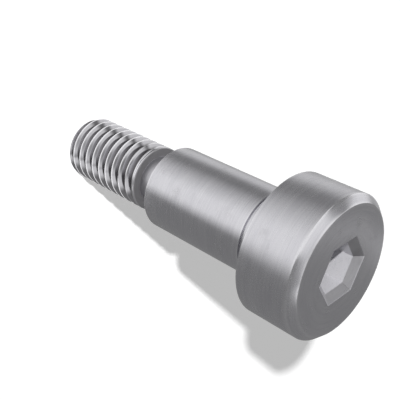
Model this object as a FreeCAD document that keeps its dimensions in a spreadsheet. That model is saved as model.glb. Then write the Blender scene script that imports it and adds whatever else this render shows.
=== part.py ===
"""A socket-head shoulder bolt: head, ground shoulder and a relieved M8 thread, in one piece.

It stands on the flat end of its thread, because it rolls when it lies on its side.
The axis is Z, the end of the thread is at Z = 0 and the head is at the top.
All sizes are in millimetres and degrees.
"""
import FreeCAD, Part
import math
import os

import Sketcher

# How a sketch names the points of a line or circle, its own axes and its origin
START, END, CENTRE = range(1, 4)
HORIZONTAL_AXIS, VERTICAL_AXIS = range(-1, -3, -1)
ORIGIN_POINT = (HORIZONTAL_AXIS, START)

# Driving dimensions
SIZES = {
    # Head
    "head_diameter": 16.0,
    "head_height": 7.0,
    "head_bevel": 0.8,
    # Hexagon socket
    "socket_flats": 5.0,
    "socket_depth": 4.8,
    "socket_lead": 0.8,
    "drill_diameter": 4.7,
    "drill_point": 120.0,
    # Grinding relief between the head and the shoulder
    "groove_diameter": 9.42,
    "groove_width": 2.5,
    # Shoulder, measured from the seat under the head to the first face of the thread
    "shoulder_diameter": 10.0,
    "shoulder_length": 20.0,
    # Thread relief at the far end of the shoulder
    "relief_diameter": 5.8,
    "relief_length": 3.1,
    # Thread
    "thread_diameter": 8.0,
    "thread_length": 13.0,
    "thread_pitch": 1.25,
    "thread_bevel": 0.6,
    "first_crest": 0.13,
}

# Form of the standard 60 degree thread, as shares of its pitch
CREST_SHARE = 0.125
DEPTH_SHARE = 0.6134
FLANK_ANGLE = 30.0

# Height of the head's face, as a formula
TOP = "(<thread_length> + <shoulder_length> + <head_height>)"

# Places closer than this are the same
CLOSE = 1e-6

doc = FreeCAD.newDocument("shoulder_bolt")
sheet = doc.addObject("Spreadsheet::Sheet", "sizes")
for row, (alias, value) in enumerate(SIZES.items(), start=1):
    sheet.set("A%d" % row, alias)
    sheet.set("B%d" % row, str(value))
    sheet.setAlias("B%d" % row, alias)
doc.recompute()


def size(alias):
    """The value of a named cell, used for the first guess of a sketch."""
    return float(getattr(sheet, alias))


def formula(text):
    """A formula in which each named size is written with its sheet's name."""
    for alias in sorted(SIZES, key=len, reverse=True):
        text = text.replace("<%s>" % alias, "sizes.%s" % alias)
    return text


def top_height():
    """Height of the head's face above the end of the thread."""
    return size("thread_length") + size("shoulder_length") + size("head_height")


def new_sketch(body, name, role, height=None):
    """A sketch on one of the body's origin planes, lifted by a formula if one is given."""
    sketch = body.newObject("Sketcher::SketchObject", name)
    plane = next(item for item in body.Origin.OriginFeatures if item.Role == role)
    sketch.AttachmentSupport = [(plane, "")]
    sketch.MapMode = "FlatFace"
    if height:
        sketch.setExpression("AttachmentOffset.Base.z", formula(height))
    return sketch


def closed_outline(sketch, corners):
    """Straight lines through the corners and back to the first one."""
    count = len(corners)
    for number in range(count):
        start = FreeCAD.Vector(*corners[number], 0)
        end = FreeCAD.Vector(*corners[(number + 1) % count], 0)
        sketch.addGeometry(Part.LineSegment(start, end), False)
    for number in range(count):
        following = (number + 1) % count
        sketch.addConstraint(Sketcher.Constraint("Coincident", number, END, following, START))


def name_distance(sketch, kind, first, second, name, text):
    """A named dimension between two points of a sketch, driven by a formula."""
    points = [sketch.getPoint(*first), sketch.getPoint(*second)]
    if kind == "DistanceX":
        value = points[1].x - points[0].x
    else:
        value = points[1].y - points[0].y
    index = sketch.addConstraint(Sketcher.Constraint(kind, *first, *second, value))
    sketch.renameConstraint(index, name)
    sketch.setExpression("Constraints." + name, formula(text))


# Half section of the turned blank
def turned_blank(body):
    thread_radius = size("thread_diameter") / 2
    relief_radius = size("relief_diameter") / 2
    shoulder_radius = size("shoulder_diameter") / 2
    groove_radius = size("groove_diameter") / 2
    head_radius = size("head_diameter") / 2
    thread_top = size("thread_length")
    relief_top = thread_top + size("relief_length")
    seat_height = thread_top + size("shoulder_length")
    groove_foot = seat_height - size("groove_width")
    top = seat_height + size("head_height")
    corners = [
        (0, 0),
        (thread_radius - size("thread_bevel"), 0),
        (thread_radius, size("thread_bevel")),
        (thread_radius, thread_top),
        (relief_radius, thread_top),
        (relief_radius, relief_top),
        (shoulder_radius, relief_top),
        (shoulder_radius, groove_foot),
        (groove_radius, groove_foot),
        (groove_radius, seat_height),
        (head_radius, seat_height),
        (head_radius, top - size("head_bevel")),
        (head_radius - size("head_bevel"), top),
        (0, top),
    ]
    (tip, thread_bevel, crest, thread_face, relief, shoulder_face, shoulder,
     groove_step, groove, seat, head_side, head_bevel, face, axis) = range(len(corners))

    sketch = new_sketch(body, "blank_section", "XZ_Plane")
    closed_outline(sketch, corners)
    sketch.addConstraint(Sketcher.Constraint("Coincident", tip, START, *ORIGIN_POINT))
    for line in (tip, thread_face, shoulder_face, groove_step, seat, face):
        sketch.addConstraint(Sketcher.Constraint("Horizontal", line))
    for line in (crest, relief, shoulder, groove, head_side, axis):
        sketch.addConstraint(Sketcher.Constraint("Vertical", line))

    radii = [
        ("thread_radius", crest, "<thread_diameter> / 2"),
        ("relief_radius", relief, "<relief_diameter> / 2"),
        ("shoulder_radius", shoulder, "<shoulder_diameter> / 2"),
        ("groove_radius", groove, "<groove_diameter> / 2"),
        ("head_radius", head_side, "<head_diameter> / 2"),
    ]
    for name, line, text in radii:
        name_distance(sketch, "DistanceX", ORIGIN_POINT, (line, START), name, text)
    heights = [
        ("thread_length", ORIGIN_POINT, (thread_face, START), "<thread_length>"),
        ("relief_length", (relief, START), (relief, END), "<relief_length>"),
        ("shoulder_length", (thread_face, START), (seat, START), "<shoulder_length>"),
        ("groove_width", (groove, START), (groove, END), "<groove_width>"),
        ("head_height", (seat, START), (face, START), "<head_height>"),
    ]
    for name, first, second, text in heights:
        name_distance(sketch, "DistanceY", first, second, name, text)
    bevels = [
        ("thread_bevel", (thread_bevel, START), (thread_bevel, END)),
        ("head_bevel", (head_bevel, END), (head_bevel, START)),
    ]
    for name, inner, outer in bevels:
        name_distance(sketch, "DistanceX", inner, outer, name + "_width", "<%s>" % name)
    name_distance(sketch, "DistanceY", (thread_bevel, START), (thread_bevel, END),
                  "thread_bevel_height", "<thread_bevel>")
    name_distance(sketch, "DistanceY", (head_bevel, START), (head_bevel, END),
                  "head_bevel_height", "<head_bevel>")
    doc.recompute()

    blank = body.newObject("PartDesign::Revolution", "turned_blank")
    blank.Profile = sketch
    blank.ReferenceAxis = (sketch, ["V_Axis"])
    blank.Angle = 360.0
    doc.recompute()
    return blank


# Helical groove that leaves the right-hand thread standing
def thread_groove(body):
    pitch = size("thread_pitch")
    crest_radius = size("thread_diameter") / 2
    root_radius = crest_radius - DEPTH_SHARE * pitch
    outside_radius = crest_radius + CREST_SHARE * pitch
    half_mouth = (1 - CREST_SHARE) * pitch / 2
    half_root = half_mouth - DEPTH_SHARE * pitch * math.tan(math.radians(FLANK_ANGLE))

    # The cut starts below the end of the bolt, half way between two crests on the +X side
    below_face = size("thread_length") - size("first_crest")
    middle = below_face - pitch * (math.ceil(below_face / pitch) + 0.5)
    start_height = (
        "(<thread_length> - <first_crest> - <thread_pitch> * "
        "(ceil((<thread_length> - <first_crest>) / <thread_pitch>) + 0.5))")

    corners = [
        (root_radius, middle - half_root),
        (crest_radius, middle - half_mouth),
        (outside_radius, middle - half_mouth),
        (outside_radius, middle + half_mouth),
        (crest_radius, middle + half_mouth),
        (root_radius, middle + half_root),
    ]
    low_flank, low_side, outside, high_side, high_flank, root = range(len(corners))
    sketch = new_sketch(body, "thread_section", "XZ_Plane")
    closed_outline(sketch, corners)
    for line in (outside, root):
        sketch.addConstraint(Sketcher.Constraint("Vertical", line))
    for line in (low_side, high_side):
        sketch.addConstraint(Sketcher.Constraint("Horizontal", line))
    sketch.addConstraint(Sketcher.Constraint("Equal", low_flank, high_flank))
    name_distance(sketch, "DistanceX", ORIGIN_POINT, (low_side, START),
                  "crest_radius", "<thread_diameter> / 2")
    name_distance(sketch, "DistanceX", (low_flank, START), (low_flank, END),
                  "groove_depth", "%s * <thread_pitch>" % DEPTH_SHARE)
    name_distance(sketch, "DistanceX", (low_side, START), (low_side, END),
                  "cutter_overlap", "%s * <thread_pitch>" % CREST_SHARE)
    name_distance(sketch, "DistanceY", (outside, START), (outside, END),
                  "groove_mouth", "%s * <thread_pitch>" % (1 - CREST_SHARE))
    name_distance(sketch, "DistanceY", (low_flank, END), (low_flank, START),
                  "flank_rise", "%s * tan(%s) * <thread_pitch>" % (DEPTH_SHARE, FLANK_ANGLE))
    name_distance(sketch, "DistanceY", (outside, START), ORIGIN_POINT, "groove_start",
                  "%s * <thread_pitch> - %s" % ((1 - CREST_SHARE) / 2, start_height))
    doc.recompute()

    groove = body.newObject("PartDesign::SubtractiveHelix", "thread_groove")
    groove.Profile = sketch
    groove.ReferenceAxis = (sketch, ["V_Axis"])
    groove.Mode = 0
    groove.setExpression("Pitch", formula("<thread_pitch>"))
    # It ends in the air, half way up the thread relief
    groove.setExpression("Height", formula(
        "<thread_length> + <relief_length> / 2 - %s" % start_height))
    groove.Angle = 0.0
    groove.LeftHanded = False
    groove.Reversed = False
    doc.recompute()
    return groove


# Hexagon socket with the point of its pilot drill, and a bevelled lead-in
def hexagon_sketch(body):
    """The hexagon in the head's face, with a corner towards +Y."""
    corner_radius = size("socket_flats") / math.sqrt(3)
    corners = []
    for number in range(6):
        angle = math.pi / 2 + number * math.pi / 3
        corners.append((corner_radius * math.cos(angle), corner_radius * math.sin(angle)))
    sketch = new_sketch(body, "socket_hexagon", "XY_Plane", TOP)
    closed_outline(sketch, corners)
    centre = FreeCAD.Vector(0, 0, 0)
    circle = sketch.addGeometry(
        Part.Circle(centre, FreeCAD.Vector(0, 0, 1), corner_radius), True)
    sketch.addConstraint(Sketcher.Constraint("Coincident", circle, CENTRE, *ORIGIN_POINT))
    for side in range(6):
        sketch.addConstraint(Sketcher.Constraint("PointOnObject", side, START, circle))
    for side in range(1, 6):
        sketch.addConstraint(Sketcher.Constraint("Equal", 0, side))
    sketch.addConstraint(Sketcher.Constraint("PointOnObject", 0, START, VERTICAL_AXIS))
    radius = sketch.addConstraint(Sketcher.Constraint("Radius", circle, corner_radius))
    sketch.renameConstraint(radius, "corner_radius")
    sketch.setExpression("Constraints.corner_radius", formula("<socket_flats> / sqrt(3)"))
    doc.recompute()
    return sketch


def hexagon_socket(body):
    socket = body.newObject("PartDesign::Pocket", "hexagon_socket")
    socket.Profile = hexagon_sketch(body)
    socket.setExpression("Length", formula("<socket_depth>"))
    doc.recompute()

    floor = top_height() - size("socket_depth")
    drill_radius = size("drill_diameter") / 2
    point_depth = drill_radius / math.tan(math.radians(size("drill_point") / 2))
    sketch = new_sketch(body, "drill_section", "XZ_Plane")
    closed_outline(sketch, [(0, floor), (drill_radius, floor), (0, floor - point_depth)])
    across, cone, axis = range(3)
    sketch.addConstraint(Sketcher.Constraint("Horizontal", across))
    sketch.addConstraint(Sketcher.Constraint("Vertical", axis))
    sketch.addConstraint(Sketcher.Constraint("PointOnObject", across, START, VERTICAL_AXIS))
    name_distance(sketch, "DistanceX", (across, START), (across, END),
                  "drill_radius", "<drill_diameter> / 2")
    name_distance(sketch, "DistanceY", (cone, END), (cone, START),
                  "point_depth", "<drill_diameter> / 2 / tan(<drill_point> / 2)")
    name_distance(sketch, "DistanceY", ORIGIN_POINT, (across, START),
                  "socket_floor", "%s - <socket_depth>" % TOP)
    doc.recompute()

    point = body.newObject("PartDesign::Groove", "drill_point")
    point.Profile = sketch
    point.ReferenceAxis = (sketch, ["V_Axis"])
    point.Angle = 360.0
    doc.recompute()
    return point


def socket_mouth_edges(shape):
    """The straight edges in the head's face: the six sides of the socket's mouth."""
    names = []
    for number, edge in enumerate(shape.Edges, start=1):
        box = edge.BoundBox
        in_face = abs(box.ZMin - top_height()) < CLOSE and box.ZLength < CLOSE
        if in_face and isinstance(edge.Curve, Part.Line):
            names.append("Edge%d" % number)
    return names


def socket_lead_in(body, base):
    lead = body.newObject("PartDesign::Chamfer", "socket_lead_in")
    lead.Base = (base, socket_mouth_edges(base.Shape))
    lead.setExpression("Size", formula("<socket_lead>"))
    doc.recompute()
    return lead


def cut_volume(before, after):
    """How much a feature takes away, which has to be more than nothing."""
    removed = before.Shape.Volume - after.Shape.Volume
    if removed <= 0:
        raise RuntimeError("%s cuts nothing" % after.Name)
    return removed


bolt = doc.addObject("PartDesign::Body", "shoulder_bolt")
bolt.Label = "shoulder_bolt"
blank = turned_blank(bolt)
thread = thread_groove(bolt)
socket = hexagon_socket(bolt)
lead_in = socket_lead_in(bolt, socket)
bolt.Tip = lead_in
doc.recompute()
for before, after in ((blank, thread), (thread, socket), (socket, lead_in)):
    print("%s cuts %.1f cubic mm" % (after.Name, cut_volume(before, after)))

for item in doc.Objects:
    for state in ("Invalid", "Error"):
        if state in item.State:
            raise RuntimeError("%s is %s" % (item.Name, state))
if bolt.Shape.isNull() or not bolt.Shape.isValid():
    raise RuntimeError("the bolt has no valid shape")
if len(bolt.Shape.Solids) != 1:
    raise RuntimeError("the bolt is not one solid")

os.makedirs("parts", exist_ok=True)
bolt.Shape.exportStep(os.path.join("parts", bolt.Label + ".step"))
box = bolt.Shape.BoundBox
print("box X %.3f %.3f Y %.3f %.3f Z %.3f %.3f" % (
    box.XMin, box.XMax, box.YMin, box.YMax, box.ZMin, box.ZMax))
print("volume %.2f centre of mass at %.2f" % (bolt.Shape.Volume, bolt.Shape.CenterOfGravity.z))
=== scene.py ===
import math

import bmesh
import bpy
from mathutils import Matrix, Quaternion, Vector


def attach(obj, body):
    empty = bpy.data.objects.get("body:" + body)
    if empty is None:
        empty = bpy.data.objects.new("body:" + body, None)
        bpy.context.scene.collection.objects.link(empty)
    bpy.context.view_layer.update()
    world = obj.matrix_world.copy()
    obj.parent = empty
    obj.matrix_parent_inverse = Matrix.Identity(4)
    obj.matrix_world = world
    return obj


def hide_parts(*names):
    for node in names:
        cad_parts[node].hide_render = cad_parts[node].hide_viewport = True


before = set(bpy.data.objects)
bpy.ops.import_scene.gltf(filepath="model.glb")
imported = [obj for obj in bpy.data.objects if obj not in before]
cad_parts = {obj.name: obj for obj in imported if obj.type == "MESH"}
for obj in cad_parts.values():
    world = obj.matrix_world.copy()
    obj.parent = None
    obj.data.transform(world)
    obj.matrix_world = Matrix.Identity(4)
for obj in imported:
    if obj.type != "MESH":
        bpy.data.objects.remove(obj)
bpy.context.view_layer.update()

MM = 0.001

# Points nearer to each other than this are one point
CLOSE = 0.0005 * MM

# Heights up the bolt, in millimetres from the flat end of the thread
THREAD_FACE = 13.0
SHOULDER_FACE = 16.1
GROOVE_FOOT = 30.5
SEAT = 33.0
HEAD_FACE = 40.0

# Radii, and the bevels at the two ends
HEAD_RADIUS = 8.0
GROOVE_RADIUS = 4.71
SHOULDER_RADIUS = 5.0
RELIEF_RADIUS = 2.9
CREST_RADIUS = 4.0
HEAD_BEVEL = 0.8
TIP_BEVEL = 0.6
CORNER_ROUNDING = 0.05

# Thread
PITCH = 1.25
CREST_FLAT = 0.156
THREAD_DEPTH = 0.767
FLANK_RISE = 0.443
FIRST_CREST = 12.87
THREAD_TURNS = 12
ROOT_RADIUS = CREST_RADIUS - THREAD_DEPTH

# The ring that the thread runs out in, under its first face
RING_FOOT = 12.6
RING_RADIUS = 3.83
RING_EDGE_RADIUS = 3.98
RING_EDGE = (12.8, 12.9)

# Where the wound thread is cut off: inside the ring, and past the flat end,
# where the envelope trims it
WINDING_TOP = 12.85
WINDING_FOOT = -0.1

# Hexagon socket
SOCKET_FLATS = 5.0
MOUTH_FLATS = 6.6
LEAD_DEPTH = 0.8
SOCKET_DEPTH = 4.8
DRILL_RADIUS = 2.35
DRILL_POINT = 1.357

# How far a cutter reaches past what it cuts
OVERSHOOT = 1.0

# Steps round the axis
TURN_STEPS = 192
THREAD_STEPS = 96
CARD_STEPS = 180
PAPER_STEPS = 96
# Not a multiple of the thread's own steps, so that no two edges fall together
# where the envelope trims the thread
ENVELOPE_STEPS = 190

# Steps round each rounded corner, and the sharpest turn in degrees that is shaded smooth
CORNER_STEPS = 3
SMOOTHING_ANGLE = 25

# The photograph's view of the bolt, turned with it as it stands up
VIEW_AZIMUTH = 20.77
VIEW_ELEVATION = 37.76
VIEW_ROLL = 116.57
VIEW_DISTANCE = 85.77 * MM
VIEW_HEIGHT = 20.12 * MM
VIEW_ANGLE = 30.0
SENSOR_WIDTH = 36.0
NEAREST_SEEN = 1 * MM


def direction(azimuth, elevation):
    """From the bolt towards a place round it: azimuth 0 is on the -Y side, 90 on the +X side."""
    turn, rise = math.radians(azimuth), math.radians(elevation)
    out = math.cos(rise)
    return Vector((math.sin(turn) * out, -math.cos(turn) * out, math.sin(rise)))


def photo_camera():
    data = bpy.data.cameras.new("photo_camera")
    data.sensor_width = SENSOR_WIDTH
    data.lens = SENSOR_WIDTH / 2 / math.tan(math.radians(VIEW_ANGLE / 2))
    data.clip_start = NEAREST_SEEN
    camera = bpy.data.objects.new("photo_camera", data)
    bpy.context.scene.collection.objects.link(camera)
    back = direction(VIEW_AZIMUTH, VIEW_ELEVATION)
    camera.location = Vector((0, 0, VIEW_HEIGHT)) + back * VIEW_DISTANCE
    camera.rotation_mode = "QUATERNION"
    roll = Quaternion((0, 0, 1), math.radians(VIEW_ROLL))
    camera.rotation_quaternion = back.to_track_quat("Z", "Y") @ roll
    bpy.context.scene.camera = camera


# Modelling by hand: small steps that the pieces below share

def edit(piece, action="SELECT"):
    """Open a piece for editing, with all of it selected, or none of it for DESELECT."""
    bpy.context.view_layer.objects.active = piece
    bpy.ops.object.mode_set(mode="EDIT")
    bpy.ops.mesh.select_all(action=action)


def end():
    bpy.ops.object.mode_set(mode="OBJECT")


def begin(name):
    """Name the primitive just added, fix its place in its mesh and open it for editing."""
    bpy.ops.object.transform_apply(location=True, rotation=False, scale=False)
    piece = bpy.context.object
    piece.name = name
    piece.data.name = name
    edit(piece)
    return piece


def drawn_line(name, points):
    """One vertex extruded from point to point, in the plane of X and Z."""
    bpy.ops.object.select_all(action="DESELECT")
    radius, height = points[0]
    bpy.ops.mesh.primitive_plane_add(size=MM, location=(radius * MM, 0, height * MM))
    line = begin(name)
    bpy.ops.mesh.merge(type="CENTER")
    for (r0, z0), (r1, z1) in zip(points, points[1:]):
        step = ((r1 - r0) * MM, 0, (z1 - z0) * MM)
        bpy.ops.mesh.extrude_region_move(TRANSFORM_OT_translate={"value": step})
    end()
    return line


def round_corners(line, corners):
    """Round the given corners of a drawn line."""
    edit(line, "DESELECT")
    mesh = bmesh.from_edit_mesh(line.data)
    wanted = [Vector((r * MM, 0, z * MM)) for r, z in corners]
    for vertex in mesh.verts:
        if any((vertex.co - place).length < CLOSE for place in wanted):
            vertex.select = True
    mesh.select_flush_mode()
    bpy.ops.mesh.bevel(offset=CORNER_ROUNDING * MM, segments=CORNER_STEPS, affect="VERTICES")
    end()


def close_up(piece):
    """Merge doubles and point every face outwards."""
    edit(piece)
    bpy.ops.mesh.remove_doubles(threshold=CLOSE)
    bpy.ops.mesh.normals_make_consistent(inside=False)
    end()


def spun(line, steps):
    """Spin a drawn line once round the bolt's axis."""
    edit(line)
    bpy.ops.mesh.spin(steps=steps, angle=math.tau, center=(0, 0, 0), axis=(0, 0, 1),
                      use_auto_merge=True)
    end()
    close_up(line)
    return line


def cut(piece, tool, operation):
    """Apply a boolean with another piece, which is used up."""
    bpy.ops.object.select_all(action="DESELECT")
    bpy.context.view_layer.objects.active = piece
    piece.select_set(True)
    bpy.ops.object.modifier_add(type="BOOLEAN")
    modifier = piece.modifiers[-1]
    modifier.operation = operation
    modifier.solver = "EXACT"
    modifier.object = tool
    bpy.ops.object.modifier_apply(modifier=modifier.name)
    bpy.data.objects.remove(tool)


# The turned head, shoulder and reliefs

def turned_body():
    """From the ring that ends the thread up to the head's face."""
    shaft = [
        (0, RING_FOOT),
        (ROOT_RADIUS, RING_FOOT),
        (RING_EDGE_RADIUS, RING_EDGE[0]),
        (RING_EDGE_RADIUS, RING_EDGE[1]),
        (RING_RADIUS, THREAD_FACE),
        (RELIEF_RADIUS, THREAD_FACE),
        (RELIEF_RADIUS, SHOULDER_FACE),
    ]
    corners = [
        (SHOULDER_RADIUS, SHOULDER_FACE),
        (SHOULDER_RADIUS, GROOVE_FOOT),
        (GROOVE_RADIUS, GROOVE_FOOT),
        (GROOVE_RADIUS, SEAT),
        (HEAD_RADIUS, SEAT),
        (HEAD_RADIUS, HEAD_FACE - HEAD_BEVEL),
        (HEAD_RADIUS - HEAD_BEVEL, HEAD_FACE),
    ]
    line = drawn_line("bolt", shaft + corners + [(0, HEAD_FACE)])
    round_corners(line, corners)
    return spun(line, TURN_STEPS)


# The thread, one pitch of it wound up the bolt and cut to length

def thread_rod():
    root_flat = PITCH - CREST_FLAT - 2 * FLANK_RISE
    low_root = FIRST_CREST - PITCH / 2 - (THREAD_TURNS - 1) * PITCH
    heights = [0, root_flat / 2, root_flat / 2 + FLANK_RISE]
    heights += [PITCH - height for height in reversed(heights)]
    radii = [ROOT_RADIUS, ROOT_RADIUS, CREST_RADIUS]
    radii += list(reversed(radii))
    points = [(radius, low_root + height) for radius, height in zip(radii, heights)]
    rod = drawn_line("thread", points)
    bpy.ops.object.modifier_add(type="SCREW")
    screw = rod.modifiers[-1]
    screw.axis = "Z"
    screw.angle = math.tau
    screw.screw_offset = PITCH * MM
    screw.iterations = THREAD_TURNS + 1
    screw.steps = screw.render_steps = THREAD_STEPS
    screw.use_merge_vertices = True
    screw.merge_threshold = CLOSE
    bpy.ops.object.modifier_apply(modifier=screw.name)
    close_up(rod)
    for height, upwards in ((WINDING_TOP, 1), (WINDING_FOOT, -1)):
        edit(rod)
        bpy.ops.mesh.bisect(plane_co=(0, 0, height * MM), plane_no=(0, 0, upwards),
                            use_fill=True, clear_outer=True, threshold=CLOSE)
        end()
    close_up(rod)
    cut(rod, tip_envelope(), "INTERSECT")
    return rod


def tip_envelope():
    """What the tip's bevel leaves of the rod."""
    outside = CREST_RADIUS + OVERSHOOT / 2
    inside = CREST_RADIUS - TIP_BEVEL
    top = THREAD_FACE + OVERSHOOT
    points = [(0, 0), (inside, 0), (outside, outside - inside), (outside, top), (0, top)]
    return spun(drawn_line("tip_envelope", points), ENVELOPE_STEPS)


# The hexagon socket, with its lead-in and the point of its pilot drill

def socket_cutter():
    bpy.ops.object.select_all(action="DESELECT")
    mouth = MOUTH_FLATS / math.sqrt(3)
    narrowing = SOCKET_FLATS / MOUTH_FLATS
    bpy.ops.mesh.primitive_circle_add(vertices=6, radius=mouth * MM, fill_type="NGON",
                                      location=(0, 0, (HEAD_FACE + OVERSHOOT) * MM))
    cutter = begin("socket_cutter")
    for drop, scale in ((OVERSHOOT, 1), (LEAD_DEPTH, narrowing), (SOCKET_DEPTH - LEAD_DEPTH, 1)):
        bpy.ops.mesh.extrude_region_move(TRANSFORM_OT_translate={"value": (0, 0, -drop * MM)})
        bpy.ops.transform.resize(value=(scale, scale, 1), center_override=(0, 0, 0))
    end()
    close_up(cutter)
    return cutter


def drill_cutter():
    """The point of the drill, with enough of its body to reach into the socket."""
    floor = HEAD_FACE - SOCKET_DEPTH
    top = floor + OVERSHOOT
    points = [(0, floor - DRILL_POINT), (DRILL_RADIUS, floor), (DRILL_RADIUS, top), (0, top)]
    return spun(drawn_line("drill_cutter", points), TURN_STEPS)


# Shader maths: an output of a node, whose sums and products add the nodes that work them out

class Output:
    def __init__(self, tree, socket=None):
        self.tree = tree
        self.socket = socket

    def node(self, kind, settings, values, output=0):
        """Any node: its settings come first, then the values or links of its inputs."""
        node = self.tree.nodes.new(kind)
        for name, value in settings.items():
            setattr(node, name, value)
        for place, value in values.items():
            if isinstance(value, Output):
                self.tree.links.new(value.socket, node.inputs[place])
            else:
                node.inputs[place].default_value = value
        return Output(self.tree, node.outputs[output] if len(node.outputs) else None)

    def maths(self, operation, first, second):
        return self.node("ShaderNodeMath", {"operation": operation}, {0: first, 1: second})

    def __add__(self, other):
        return self.maths("ADD", self, other)

    def __radd__(self, other):
        return self.maths("ADD", other, self)

    def __sub__(self, other):
        return self.maths("SUBTRACT", self, other)

    def __rsub__(self, other):
        return self.maths("SUBTRACT", other, self)

    def __mul__(self, other):
        return self.maths("MULTIPLY", self, other)

    def __rmul__(self, other):
        return self.maths("MULTIPLY", other, self)

    def __truediv__(self, other):
        return self.maths("DIVIDE", self, other)

    def __rtruediv__(self, other):
        return self.maths("DIVIDE", other, self)

    def __pow__(self, power):
        return self.maths("POWER", self, power)

    def larger(self, other):
        return self.maths("MAXIMUM", self, other)

    def smaller(self, other):
        return self.maths("MINIMUM", self, other)

    def ramp(self, start, finish):
        """0 at the start and 1 at the finish, with a smooth rise between."""
        return self.node("ShaderNodeMapRange", {"interpolation_type": "SMOOTHSTEP"},
                         {"Value": self, "From Min": start, "From Max": finish})


def new_material(name):
    material = bpy.data.materials.new(name)
    material.use_nodes = True
    material.node_tree.nodes.clear()
    return material, Output(material.node_tree)


def seen_directly(work):
    """1 where the camera, a reflection or clear material looks, and 0 for light on things."""
    rays = [work.node("ShaderNodeLightPath", {}, {}, "Is %s Ray" % kind)
            for kind in ("Camera", "Glossy", "Transmission")]
    return (rays[0] + rays[1] + rays[2]).smaller(1.0)


# Studio: white paper, a white tent with grey cards that the steel reflects, and one lamp

WHITE = (1.0, 1.0, 1.0, 1.0)
PAPER = (0.8, 0.8, 0.8, 1.0)
PAPER_RADIUS = 3.0
# Makes the lit paper look white to the camera, without lighting the bolt
PAPER_GLOW = 0.37
# How much light the white surroundings throw on things, from all sides
WORLD_FILL = 0.15

# The lamp's side and height in degrees, its strength, and the width of its face in degrees
KEY_SIDE = 13.0
KEY_ELEVATION = 26.5
KEY_STRENGTH = 5.0
KEY_WIDTH = 1.5

# How bright the floor looks in the steel, by degrees round from the camera
FIRST_SIDE = -186
FLOOR_SHADES = [
    (FIRST_SIDE, 0.24), (-44, 0.24), (-20, 1.0), (12, 1.0), (40, 0.66), (72, 0.24), (90, 0.26),
    (110, 0.7), (128, 0.7), (142, 0.46), (160, 0.5), (173, 0.45), (174, 0.24),
]
# The floor's card starts a little way from the bolt's foot and lies just over the paper
CARD_START = 14.0
CARD_HEIGHT = 0.05

# Grey cards of the tent: from one side to another, from one height to another, and their shade
TENT_CARDS = [
    (FIRST_SIDE, -15, -10, 50, 0.25),
    (-74, -11, 37, 63, 0.26),
    (FIRST_SIDE, -110, 50, 80, 0.25),
    (FIRST_SIDE, 186, 71, 100, 0.33),
    (75, 113, -10, 49, 0.24),
    (145, 186, -10, 80, 0.27),
]
# The tent's size, the heights in degrees of its rings, and the width of a card's soft edge
TENT_RADIUS = 800.0
TENT_RISES = range(0, 90, 3)
TENT_SOFTNESS = 7.0


def pale_floor():
    bpy.ops.object.select_all(action="DESELECT")
    bpy.ops.mesh.primitive_circle_add(vertices=PAPER_STEPS, radius=PAPER_RADIUS,
                                      fill_type="NGON", location=(0, 0, 0))
    floor = bpy.context.object
    floor.name = "floor"
    material, work = new_material("floor_paper")
    paper = work.node("ShaderNodeBsdfDiffuse", {}, {"Color": PAPER})
    glow = work.node("ShaderNodeEmission", {},
                     {"Color": WHITE, "Strength": seen_directly(work) * PAPER_GLOW})
    both = work.node("ShaderNodeAddShader", {}, {0: paper, 1: glow})
    work.node("ShaderNodeOutputMaterial", {}, {"Surface": both})
    floor.data.materials.append(material)


def side_of(point):
    """How many degrees round from the camera a place is, from the first side on."""
    side = VIEW_AZIMUTH - 90 - math.degrees(math.atan2(point.y, point.x))
    return (side - FIRST_SIDE) % 360 + FIRST_SIDE


def floor_shade(point):
    side = side_of(point)
    for (near, first), (far, second) in zip(FLOOR_SHADES, FLOOR_SHADES[1:]):
        if near <= side <= far:
            return first + (second - first) * (side - near) / (far - near)
    return FLOOR_SHADES[-1][1]


def within(value, low, high):
    """1 inside the limits and 0 outside, with a soft edge."""
    shares = [(value - low) / TENT_SOFTNESS + 0.5, (high - value) / TENT_SOFTNESS + 0.5]
    return min(max(min(shares), 0.0), 1.0)


def tent_shade(point):
    side, rise = side_of(point), math.degrees(math.asin(point.z / point.length))
    shade = 1.0
    for near, far, low, high, grey in TENT_CARDS:
        shade += (grey - shade) * within(side, near, far) * within(rise, low, high)
    return shade


def card(name, outline, shade):
    """A sheet spun about the bolt's axis and painted in greys, seen by reflections alone."""
    sheet = spun(drawn_line(name, outline), CARD_STEPS)
    paint = sheet.data.attributes.new("shade", "FLOAT", "POINT")
    for vertex in sheet.data.vertices:
        paint.data[vertex.index].value = shade(vertex.co)
    material, work = new_material(name + "_card")
    grey = work.node("ShaderNodeAttribute", {"attribute_name": "shade"}, {}, "Fac")
    glow = work.node("ShaderNodeEmission", {}, {"Color": WHITE, "Strength": grey})
    work.node("ShaderNodeOutputMaterial", {}, {"Surface": glow})
    sheet.data.materials.append(material)
    sheet.visible_camera = False
    sheet.visible_diffuse = False
    sheet.visible_shadow = False
    sheet.visible_transmission = False


def key_lamp():
    data = bpy.data.lights.new("key", "SUN")
    data.energy = KEY_STRENGTH
    data.angle = math.radians(KEY_WIDTH)
    lamp = bpy.data.objects.new("key", data)
    bpy.context.scene.collection.objects.link(lamp)
    # The steel reflects the tent, and not a bare lamp
    lamp.visible_glossy = False
    lamp.rotation_mode = "QUATERNION"
    towards = direction(VIEW_AZIMUTH - KEY_SIDE, KEY_ELEVATION)
    lamp.rotation_quaternion = towards.to_track_quat("Z", "Y")


def white_world():
    world = bpy.data.worlds.new("studio")
    bpy.context.scene.world = world
    world.use_nodes = True
    world.node_tree.nodes.clear()
    work = Output(world.node_tree)
    strength = seen_directly(work) * (1.0 - WORLD_FILL) + WORLD_FILL
    background = work.node("ShaderNodeBackground", {}, {"Color": WHITE, "Strength": strength})
    work.node("ShaderNodeOutputWorld", {}, {"Surface": background})


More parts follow.
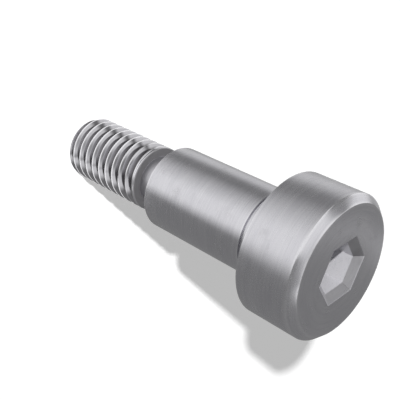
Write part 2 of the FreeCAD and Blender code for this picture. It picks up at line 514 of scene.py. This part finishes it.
def studio():
    pale_floor()
    white_world()
    key_lamp()
    card("floor", [(CARD_START, CARD_HEIGHT), (TENT_RADIUS, CARD_HEIGHT)], floor_shade)
    rises = [math.radians(rise) for rise in TENT_RISES]
    outline = [(TENT_RADIUS * math.cos(rise), TENT_RADIUS * math.sin(rise)) for rise in rises]
    card("tent", outline, tent_shade)


# Steel: turned head, ground shoulder and rolled thread, bare

BRIGHT_STEEL = (0.68, 0.675, 0.705, 1.0)
DULL_STEEL = (0.61, 0.605, 0.64, 1.0)
DARK_STEEL = (0.33, 0.325, 0.335, 1.0)
# Polished steel for worn corners, and for the painted highlight on the thread's crests
POLISHED_AND_HIGHLIGHT_STEEL = (0.78, 0.775, 0.8, 1.0)
# Very dark steel, painted shade on the thread's first face under the shoulder
RING_SHADE_STEEL = (0.22, 0.217, 0.225, 1.0)

# Soft limits of each place, from where none of it shows to where all of it does, as heights
HEAD_START = (SEAT - 0.05, SEAT + 0.05)
FACE_START = (HEAD_FACE - 0.03, HEAD_FACE - 0.01)
SOCKET_START = (HEAD_FACE - 0.02, HEAD_FACE - 0.1)
WALLS_START = (HEAD_FACE - LEAD_DEPTH + 0.05, HEAD_FACE - LEAD_DEPTH - 0.05)
DEEP_START = (HEAD_FACE, HEAD_FACE - SOCKET_DEPTH)
GROOVE_START = (GROOVE_FOOT + 1.6, SEAT)
SHOULDER_START = (SHOULDER_FACE, SHOULDER_FACE + 0.1)
SHOULDER_STOP = (GROOVE_FOOT, GROOVE_FOOT - 0.1)
NECK_START = (THREAD_FACE - 0.05, THREAD_FACE - 0.02)
NECK_STOP = (SHOULDER_FACE, SHOULDER_FACE - 0.02)
RING_START = (THREAD_FACE - 0.12, THREAD_FACE - 0.02)
RING_STOP = (THREAD_FACE + 0.1, THREAD_FACE + 0.02)
THREAD_STOP = (THREAD_FACE + 0.02, THREAD_FACE - 0.02)

# and as radii
SOCKET_WITHIN = (4.3, 4.0)
GROOVE_WITHIN = (5.4, 4.8)
ROOT_WITHIN = (3.85, 3.5)
CREST_BEYOND = (3.93, 3.98)
RING_BEYOND = (RELIEF_RADIUS, RELIEF_RADIUS + 0.1)

# Tool marks: how close together they lie, and how often they break off round the bolt
FINE_MARKS = (9.0, 0.8)
BROAD_MARKS = (1.3, 1.6)
MARK_NOISE = {"Scale": 1.0, "Detail": 3.0, "Roughness": 0.6}
FINE_SHARE = 0.6
BROAD_SHARE = 0.4
# How many times closer together they lie across a face than up a side
FACE_CLOSENESS = 1.7
# Keeps the direction round the bolt finite on its axis
AXIS_GUARD = 0.01

# A film of oil and dust in wide patches, and small specks
FILM_NOISE = {"Scale": 0.55, "Detail": 4.0, "Roughness": 0.62}
SPECK_NOISE = {"Scale": 6.0, "Detail": 2.0}

# Corners where handling has polished the steel, as radius and height,
# and how far from them it starts and is whole
RUBBED_CORNERS = [
    (SHOULDER_RADIUS, SHOULDER_FACE),
    (SHOULDER_RADIUS, GROOVE_FOOT),
    (HEAD_RADIUS, SEAT),
    (HEAD_RADIUS, HEAD_FACE - HEAD_BEVEL),
    (HEAD_RADIUS - HEAD_BEVEL, HEAD_FACE),
]
RUBBED_WIDTH = (0.32, 0.06)
# How bright the painted highlight on the crests is, and how rubbed the socket's walls are, where
# those corners are 1
WEAR_AND_CREST_HIGHLIGHT = {"crest": 1.5, "walls": 0.9}
# The levels of the specks between which wear comes through, and how much it brightens
WEAR_LEVELS = (0.2, 0.5)
WEAR_BRIGHTENS = 0.6

# The levels of the grain from dull to bright steel, and of the film from clean to full
GRAIN_LEVELS = (0.35, 0.65)
FILM_DARKENS = (0.52, 0.8)
FILM_ROUGHENS = (0.45, 0.8)

# How far painted shade darkens the thread's roots and flanks, the socket's lead-in, the socket's
# walls towards the bottom and the groove under the head, and how far a film of dirt darkens all
# of it, where 1 is dark steel
PAINTED_SHADE_AND_SOIL = {"root": 0.95, "thread": 0.4, "lead": 0.42, "walls": 0.2, "groove": 0.6, "film": 0.18}

# Roughness of the ground shoulder, and what each place adds to it
GROUND_ROUGHNESS = 0.22
ROUGHER = {"head": 0.04, "walls": 0.34, "ring": 0.45, "neck": 0.16, "thread": -0.18,
           "grain": 0.1, "film": 0.07, "shade_and_soil": 0.05, "wear_and_crest_highlight": -0.06}
MIDDLE_GRAIN = 0.5

# How much less metallic the places left raw are
DULLER = {"walls": 0.42, "ring": 0.5}

# Height of the bump, and how much of it the fine marks of each place and the specks make
BUMP_STRENGTH = 0.12
BUMP_HEIGHT = 0.02
MARK_DEPTH = {"all": 0.35, "head": 0.65, "shoulder": -0.2, "specks": 0.04}


def steel():
    material, work = new_material("steel")
    place = work.node("ShaderNodeTexCoord", {}, {}, "Object")
    place = work.node("ShaderNodeVectorMath", {"operation": "SCALE"},
                      {"Vector": place, "Scale": 1 / MM})
    across, along, height = (
        work.node("ShaderNodeSeparateXYZ", {}, {0: place}, axis) for axis in "XYZ")
    radius = (across * across + along * along) ** 0.5

    # Where on the bolt, in millimetres
    head = height.ramp(*HEAD_START)
    face = height.ramp(*FACE_START)
    socket = head * height.ramp(*SOCKET_START) * radius.ramp(*SOCKET_WITHIN)
    walls = socket * height.ramp(*WALLS_START)
    lead = socket - walls
    groove = height.ramp(*GROOVE_START) * (1.0 - head) * radius.ramp(*GROOVE_WITHIN)
    shoulder = height.ramp(*SHOULDER_START) * height.ramp(*SHOULDER_STOP)
    neck = height.ramp(*NECK_START) * height.ramp(*NECK_STOP)
    ring = height.ramp(*RING_START) * height.ramp(*RING_STOP) * radius.ramp(*RING_BEYOND)
    thread = height.ramp(*THREAD_STOP)
    root = thread * radius.ramp(*ROOT_WITHIN)
    crest = thread * radius.ramp(*CREST_BEYOND)

    # Marks of the tool run round the bolt, and follow one another up the sides
    # and across the faces
    travel = height + radius * FACE_CLOSENESS
    turn_x, turn_y = across / (radius + AXIS_GUARD), along / (radius + AXIS_GUARD)

    def marks(closeness, breaks):
        spot = work.node("ShaderNodeCombineXYZ", {},
                         {0: turn_x * breaks, 1: turn_y * breaks, 2: travel * closeness})
        return work.node("ShaderNodeTexNoise", {}, {"Vector": spot, **MARK_NOISE})

    fine_marks = marks(*FINE_MARKS)
    broad_marks = marks(*BROAD_MARKS)
    grain = fine_marks * FINE_SHARE + broad_marks * BROAD_SHARE
    film = work.node("ShaderNodeTexNoise", {}, {"Vector": place, **FILM_NOISE})
    specks = work.node("ShaderNodeTexNoise", {}, {"Vector": place, **SPECK_NOISE})

    # Wear along the corners and the walls that the key turns, and a painted highlight on the
    # thread's crests, broken up by the specks
    section = work.node("ShaderNodeCombineXYZ", {}, {0: radius, 1: 0.0, 2: height})
    wear_and_crest_highlight = crest * WEAR_AND_CREST_HIGHLIGHT["crest"]
    for corner_radius, corner_height in RUBBED_CORNERS:
        away = work.node("ShaderNodeVectorMath", {"operation": "DISTANCE"},
                         {0: section, 1: (corner_radius, 0, corner_height)}, "Value")
        wear_and_crest_highlight = wear_and_crest_highlight.larger(away.ramp(*RUBBED_WIDTH))
    wear_and_crest_highlight = wear_and_crest_highlight.larger(walls * WEAR_AND_CREST_HIGHLIGHT["walls"]) * specks.ramp(*WEAR_LEVELS)

    # Painted shade in the thread's roots and flanks, the socket's lead-in, the socket's walls
    # more the deeper they go and the groove under the head, and a thin film of dirt over all of
    # it
    shade_and_soil = (root * PAINTED_SHADE_AND_SOIL["root"]).larger(thread * PAINTED_SHADE_AND_SOIL["thread"] - crest)
    shade_and_soil = shade_and_soil.larger(lead * PAINTED_SHADE_AND_SOIL["lead"] + walls * height.ramp(*DEEP_START) * PAINTED_SHADE_AND_SOIL["walls"])
    shade_and_soil = shade_and_soil.larger(groove * PAINTED_SHADE_AND_SOIL["groove"]) + film.ramp(*FILM_DARKENS) * PAINTED_SHADE_AND_SOIL["film"]

    def mixed(amount, first, second):
        return work.node("ShaderNodeMix", {"data_type": "RGBA"},
                         {0: amount, 6: first, 7: second}, 2)

    colour = mixed(grain.ramp(*GRAIN_LEVELS), DULL_STEEL, BRIGHT_STEEL)
    # Dark steel is mixed in where shade is painted and where the film of dirt lies
    colour = mixed(shade_and_soil, colour, DARK_STEEL)
    # The crests take the polished colour in full, as a painted highlight; elsewhere it is wear
    colour = mixed((wear_and_crest_highlight * WEAR_BRIGHTENS).larger(crest), colour, POLISHED_AND_HIGHLIGHT_STEEL)
    # The thread's first face is made very dark: painted shade under the shoulder
    colour = mixed(ring, colour, RING_SHADE_STEEL)

    amounts = {"head": head - face, "walls": walls, "ring": ring, "neck": neck,
               "thread": thread, "grain": grain - MIDDLE_GRAIN,
               "film": film.ramp(*FILM_ROUGHENS), "shade_and_soil": shade_and_soil, "wear_and_crest_highlight": wear_and_crest_highlight}
    roughness = GROUND_ROUGHNESS
    for name, amount in amounts.items():
        roughness = roughness + amount * ROUGHER[name]

    # The broached walls and the thread's first face are left raw, and are duller
    metallic = 1.0 - walls * DULLER["walls"] - ring * DULLER["ring"]

    depth = MARK_DEPTH["all"] + head * MARK_DEPTH["head"] + shoulder * MARK_DEPTH["shoulder"]
    depth = fine_marks * depth + specks * MARK_DEPTH["specks"]
    bump = work.node("ShaderNodeBump", {},
                     {"Strength": BUMP_STRENGTH, "Distance": BUMP_HEIGHT * MM, "Height": depth})
    shader = work.node("ShaderNodeBsdfPrincipled", {}, {
        "Base Color": colour, "Metallic": metallic, "Roughness": roughness, "Normal": bump})
    work.node("ShaderNodeOutputMaterial", {}, {"Surface": shader})
    return material


photo_camera()
bpy.context.scene.view_settings.view_transform = "Standard"
studio()

# The socket is cut while the body is a closed turned piece, and the thread is joined last
bolt = turned_body()
cut(bolt, socket_cutter(), "DIFFERENCE")
cut(bolt, drill_cutter(), "DIFFERENCE")
cut(bolt, thread_rod(), "UNION")
close_up(bolt)
bpy.ops.object.select_all(action="DESELECT")
bolt.select_set(True)
bpy.ops.object.shade_smooth_by_angle(angle=math.radians(SMOOTHING_ANGLE))
bolt.data.materials.append(steel())

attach(bolt, "root")
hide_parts("shoulder_bolt")
